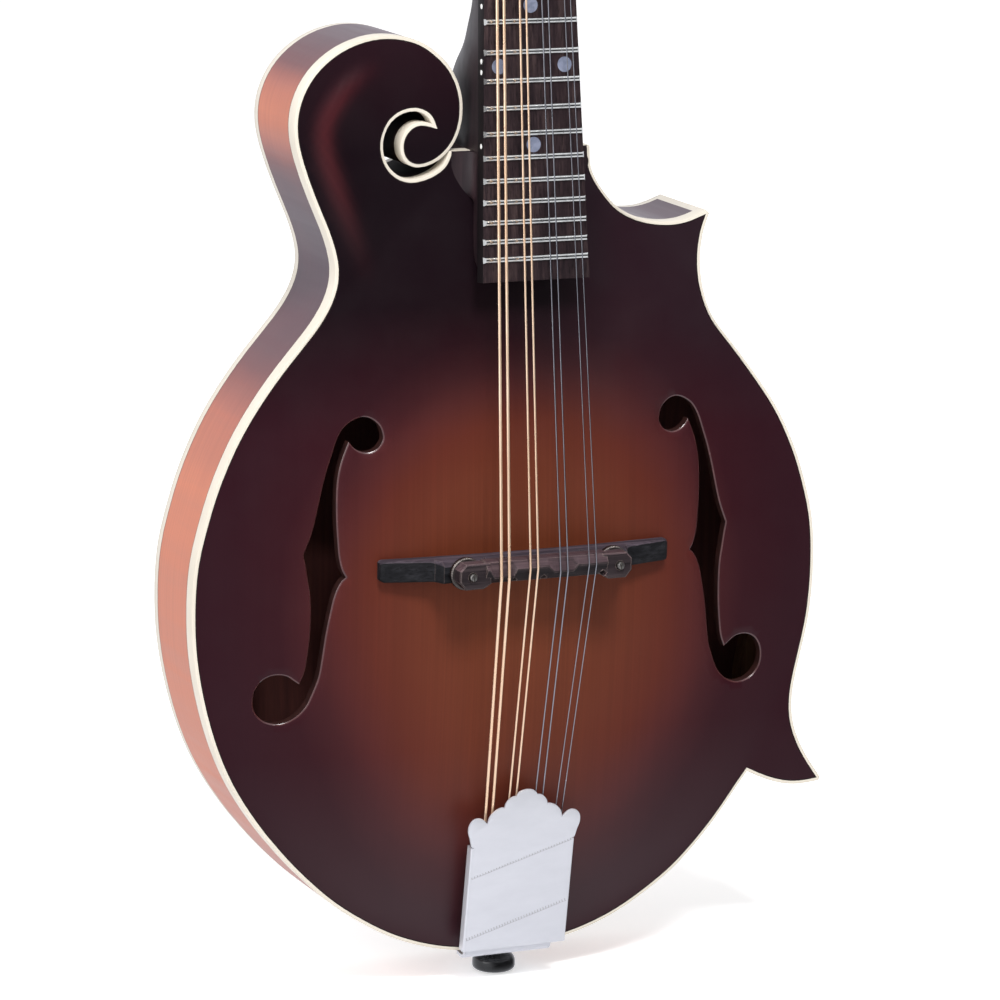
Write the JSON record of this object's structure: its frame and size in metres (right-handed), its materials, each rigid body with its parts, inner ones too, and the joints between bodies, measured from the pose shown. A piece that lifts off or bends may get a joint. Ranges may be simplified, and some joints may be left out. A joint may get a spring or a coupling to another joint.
{
  "type": "mandolin",
  "caption": "Carved arch-top mandolin with a scroll body, points, f-holes, a height-adjustable bridge, a covered tailpiece and worm-geared tuners.",
  "frame": {"origin": "centre of the end pin's flat outer face, at the tail of the body", "axes": "+Z from the tail towards the headstock, parallel to the front edge of the body; the soundboard and strings face -Y; the treble strings are on the +X side"},
  "size_m": [0.2628, 0.1074, 0.6639],
  "materials": {
    "top_spruce": "satin lacquer over a brown sunburst",
    "back_maple": "satin lacquer, flamed",
    "side_maple": "satin lacquer, light brown shading to dark at the waists",
    "binding": "ivory coloured binding",
    "inner_wood": "bare wood",
    "neck_maple": "dark satin",
    "rod_steel": "plain steel",
    "brass_part": "machined",
    "black_plastic": "gloss",
    "fingerboard_wood": "oiled dark rosewood with nickel frets",
    "overlay_wood": "satin ebony veneer",
    "nut_bone": "polished bone",
    "bridge_ebony": "dull ebony",
    "wheel_metal": "knurled",
    "tailpiece_nickel": "satin nickel plate",
    "end_pin_black": "turned and polished",
    "tuner_nickel": "nickel plate",
    "knob_pearloid": "pearl effect",
    "string_bronze": "bronze wound",
    "string_steel": "plain steel"
  },
  "bodies": {
    "root": {"top_plate": "top_spruce", "back_plate": "back_maple", "rim": "side_maple", "top_binding": "binding", "back_binding": "binding", "top_lining_bass": "inner_wood", "top_lining_treble": "inner_wood", "back_lining_bass": "inner_wood", "back_lining_treble": "inner_wood", "head_block": "inner_wood", "tail_block": "inner_wood", "upper_point_block": "inner_wood", "lower_point_block": "inner_wood", "tone_bar_bass": "inner_wood", "tone_bar_treble": "inner_wood", "neck": "neck_maple", "truss_rod": "rod_steel", "truss_rod_cover": "black_plastic", "fingerboard": "fingerboard_wood", "fingerboard_riser": "neck_maple", "headstock_overlay": "overlay_wood", "nut": "nut_bone", "heel_cap": "binding", "bridge_base": "bridge_ebony", "bridge_post_bass": "rod_steel", "bridge_post_treble": "rod_steel", "tailpiece_base": "tailpiece_nickel", "end_pin": "end_pin_black", "tuner_plate_bass": "tuner_nickel", "tuner_plate_treble": "tuner_nickel", "string_g_outer": "string_bronze", "string_g_inner": "string_bronze", "string_d_outer": "string_bronze", "string_d_inner": "string_bronze", "string_a_inner": "string_steel", "string_a_outer": "string_steel", "string_e_inner": "string_steel", "string_e_outer": "string_steel"},
    "saddle": {"bridge_saddle": "bridge_ebony"},
    "wheel_bass": {"thumbwheel_bass": "wheel_metal"},
    "wheel_treble": {"thumbwheel_treble": "wheel_metal"},
    "cover": {"tailpiece_cover": "tailpiece_nickel"},
    "rod_nut": {"truss_rod_nut": "brass_part"},
    "knob_bass_1": {"tuner_knob_bass_1": "knob_pearloid"},
    "post_bass_1": {"tuner_post_bass_1": "tuner_nickel"},
    "knob_bass_2": {"tuner_knob_bass_2": "knob_pearloid"},
    "post_bass_2": {"tuner_post_bass_2": "tuner_nickel"},
    "knob_bass_3": {"tuner_knob_bass_3": "knob_pearloid"},
    "post_bass_3": {"tuner_post_bass_3": "tuner_nickel"},
    "knob_bass_4": {"tuner_knob_bass_4": "knob_pearloid"},
    "post_bass_4": {"tuner_post_bass_4": "tuner_nickel"},
    "knob_treble_1": {"tuner_knob_treble_1": "knob_pearloid"},
    "post_treble_1": {"tuner_post_treble_1": "tuner_nickel"},
    "knob_treble_2": {"tuner_knob_treble_2": "knob_pearloid"},
    "post_treble_2": {"tuner_post_treble_2": "tuner_nickel"},
    "knob_treble_3": {"tuner_knob_treble_3": "knob_pearloid"},
    "post_treble_3": {"tuner_post_treble_3": "tuner_nickel"},
    "knob_treble_4": {"tuner_knob_treble_4": "knob_pearloid"},
    "post_treble_4": {"tuner_post_treble_4": "tuner_nickel"}
  },
  "joints": [
    {"name": "thumbwheel_turn_bass", "type": "hinge", "parent": "saddle", "child": "wheel_bass", "pos_m": [-0.03, -0.0352, 0.1664], "axis": [0, -1, 0], "range_deg": [-510, 1540]},
    {"name": "thumbwheel_turn_treble", "type": "hinge", "parent": "saddle", "child": "wheel_treble", "pos_m": [0.03, -0.0352, 0.1664], "axis": [0, -1, 0], "range_deg": [-515, 1545]},
    {"name": "saddle_height", "type": "slide", "parent": "root", "child": "saddle", "axis": [0, -1, 0], "range_m": [-0.00101, 0.00301], "deforming": ["string_g_outer", "string_g_inner", "string_d_outer", "string_d_inner", "string_a_inner", "string_a_outer", "string_e_inner", "string_e_outer"]},
    {"name": "cover_slide", "type": "slide", "parent": "root", "child": "cover", "axis": [0, -0.1522, 0.9883], "range_m": [0, 0.015]},
    {"name": "truss_rod_turn", "type": "hinge", "parent": "root", "child": "rod_nut", "pos_m": [0, 0.00758, 0.52904], "axis": [0, 0.1019, 0.9948], "range_deg": [-180, 180]},
    {"name": "knob_turn_bass_1", "type": "hinge", "parent": "root", "child": "knob_bass_1", "pos_m": [-0.0215, 0.02664, 0.54661], "axis": [1, 0, 0], "continuous": true},
    {"name": "post_turn_bass_1", "type": "hinge", "parent": "root", "child": "post_bass_1", "pos_m": [-0.0215, 0.01275, 0.55909], "axis": [0, 0.9406, -0.3396], "continuous": true},
    {"name": "knob_turn_bass_2", "type": "hinge", "parent": "root", "child": "knob_bass_2", "pos_m": [-0.0215, 0.03445, 0.56824], "axis": [1, 0, 0], "continuous": true},
    {"name": "post_turn_bass_2", "type": "hinge", "parent": "root", "child": "post_bass_2", "pos_m": [-0.0215, 0.02056, 0.58072], "axis": [0, 0.9406, -0.3396], "continuous": true},
    {"name": "knob_turn_bass_3", "type": "hinge", "parent": "root", "child": "knob_bass_3", "pos_m": [-0.0215, 0.04226, 0.58987], "axis": [1, 0, 0], "continuous": true},
    {"name": "post_turn_bass_3", "type": "hinge", "parent": "root", "child": "post_bass_3", "pos_m": [-0.0215, 0.02837, 0.60235], "axis": [0, 0.9406, -0.3396], "continuous": true},
    {"name": "knob_turn_bass_4", "type": "hinge", "parent": "root", "child": "knob_bass_4", "pos_m": [-0.0215, 0.05007, 0.6115], "axis": [1, 0, 0], "continuous": true},
    {"name": "post_turn_bass_4", "type": "hinge", "parent": "root", "child": "post_bass_4", "pos_m": [-0.0215, 0.03618, 0.62399], "axis": [0, 0.9406, -0.3396], "continuous": true},
    {"name": "knob_turn_treble_1", "type": "hinge", "parent": "root", "child": "knob_treble_1", "pos_m": [0.0215, 0.02664, 0.54661], "axis": [1, 0, 0], "continuous": true},
    {"name": "post_turn_treble_1", "type": "hinge", "parent": "root", "child": "post_treble_1", "pos_m": [0.0215, 0.01275, 0.55909], "axis": [0, 0.9406, -0.3396], "continuous": true},
    {"name": "knob_turn_treble_2", "type": "hinge", "parent": "root", "child": "knob_treble_2", "pos_m": [0.0215, 0.03445, 0.56824], "axis": [1, 0, 0], "continuous": true},
    {"name": "post_turn_treble_2", "type": "hinge", "parent": "root", "child": "post_treble_2", "pos_m": [0.0215, 0.02056, 0.58072], "axis": [0, 0.9406, -0.3396], "continuous": true},
    {"name": "knob_turn_treble_3", "type": "hinge", "parent": "root", "child": "knob_treble_3", "pos_m": [0.0215, 0.04226, 0.58987], "axis": [1, 0, 0], "continuous": true},
    {"name": "post_turn_treble_3", "type": "hinge", "parent": "root", "child": "post_treble_3", "pos_m": [0.0215, 0.02837, 0.60235], "axis": [0, 0.9406, -0.3396], "continuous": true},
    {"name": "knob_turn_treble_4", "type": "hinge", "parent": "root", "child": "knob_treble_4", "pos_m": [0.0215, 0.05007, 0.6115], "axis": [1, 0, 0], "continuous": true},
    {"name": "post_turn_treble_4", "type": "hinge", "parent": "root", "child": "post_treble_4", "pos_m": [0.0215, 0.03618, 0.62399], "axis": [0, 0.9406, -0.3396], "continuous": true}
  ],
  "couplings": [
    {"joint": "thumbwheel_turn_treble", "follows": "thumbwheel_turn_bass", "ratio": 1},
    {"joint": "saddle_height", "follows": "thumbwheel_turn_bass", "m_per_rad": 0.00011141},
    {"joint": "post_turn_bass_1", "follows": "knob_turn_bass_1", "ratio": 0.066667},
    {"joint": "post_turn_bass_2", "follows": "knob_turn_bass_2", "ratio": 0.066667},
    {"joint": "post_turn_bass_3", "follows": "knob_turn_bass_3", "ratio": 0.066667},
    {"joint": "post_turn_bass_4", "follows": "knob_turn_bass_4", "ratio": 0.066667},
    {"joint": "post_turn_treble_1", "follows": "knob_turn_treble_1", "ratio": 0.066667},
    {"joint": "post_turn_treble_2", "follows": "knob_turn_treble_2", "ratio": 0.066667},
    {"joint": "post_turn_treble_3", "follows": "knob_turn_treble_3", "ratio": 0.066667},
    {"joint": "post_turn_treble_4", "follows": "knob_turn_treble_4", "ratio": 0.066667}
  ]
}
